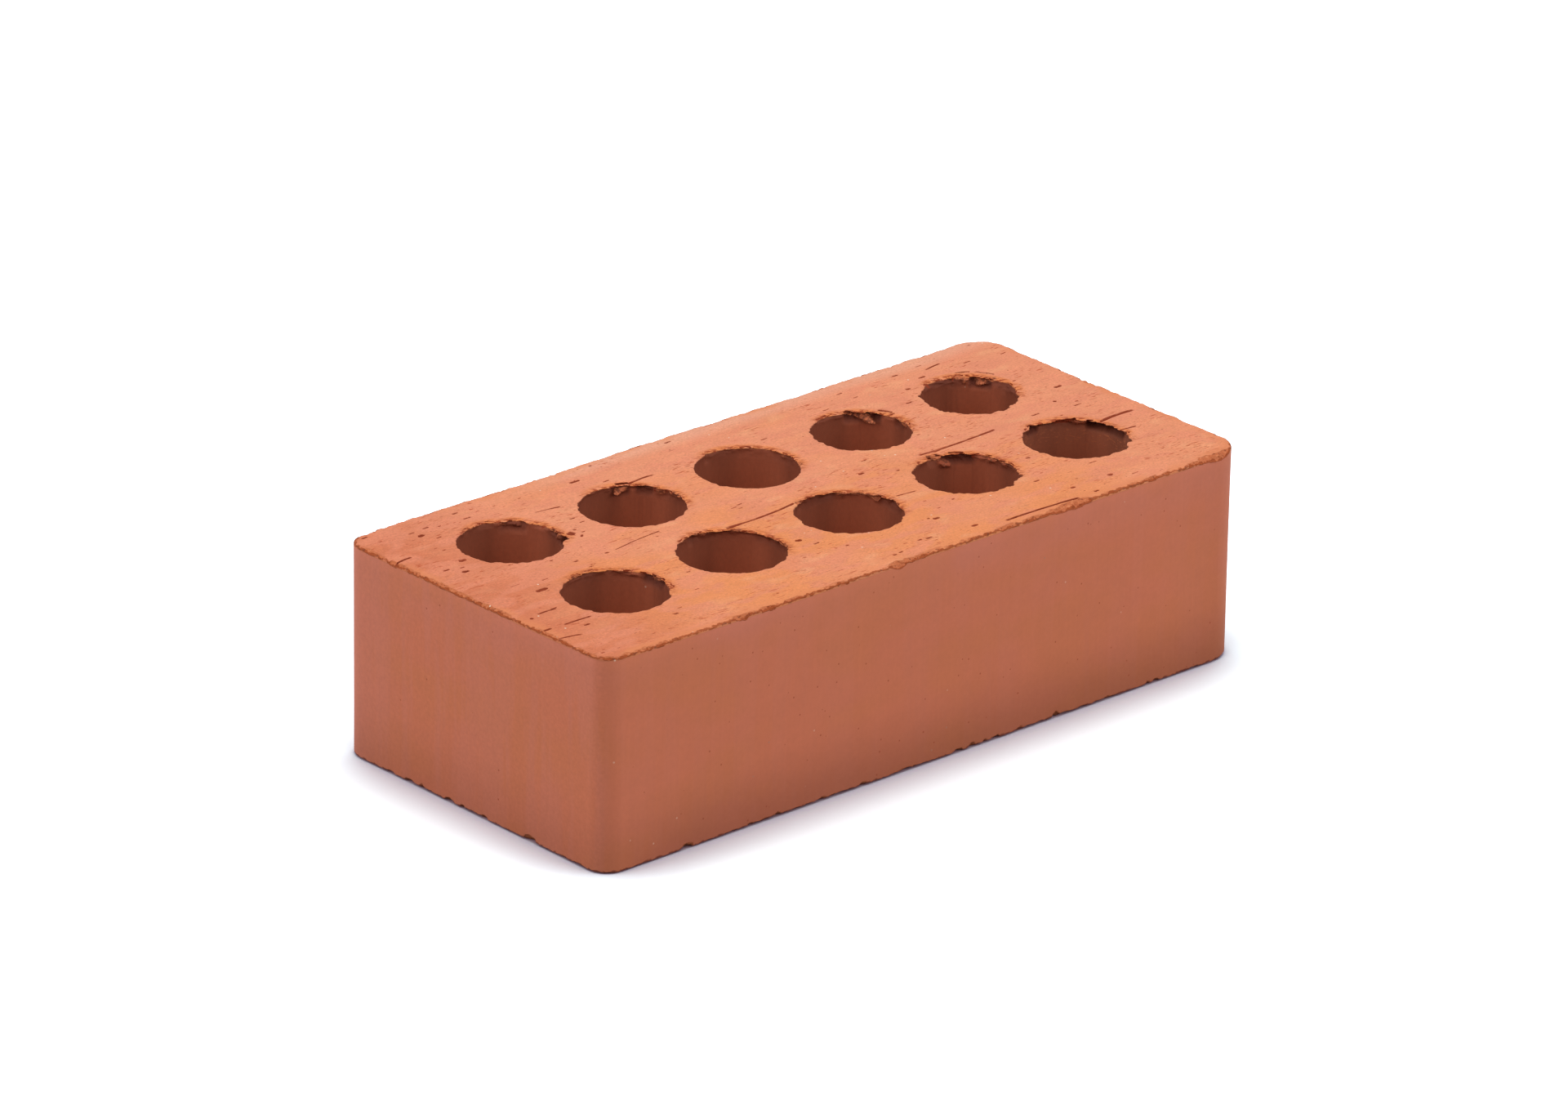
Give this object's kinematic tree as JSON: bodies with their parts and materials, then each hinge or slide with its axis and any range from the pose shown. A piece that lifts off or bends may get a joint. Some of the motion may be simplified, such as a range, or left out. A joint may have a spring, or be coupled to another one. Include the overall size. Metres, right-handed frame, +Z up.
{
  "type": "perforated clay brick",
  "caption": "Extruded red clay facing brick with rounded upright corners and two rows of round through cores, for laying in mortar.",
  "frame": {"origin": "middle of the lower bed, the wire-cut face that the brick rests on", "axes": "+X along the length between the header faces, +Y across the width between the stretcher faces, +Z up along the cores, from bed to bed"},
  "size_m": [0.226, 0.104, 0.06],
  "materials": {
    "fired_clay": "matte"
  },
  "bodies": {
    "root": {"perforated_brick": "fired_clay"}
  },
  "joints": []
}
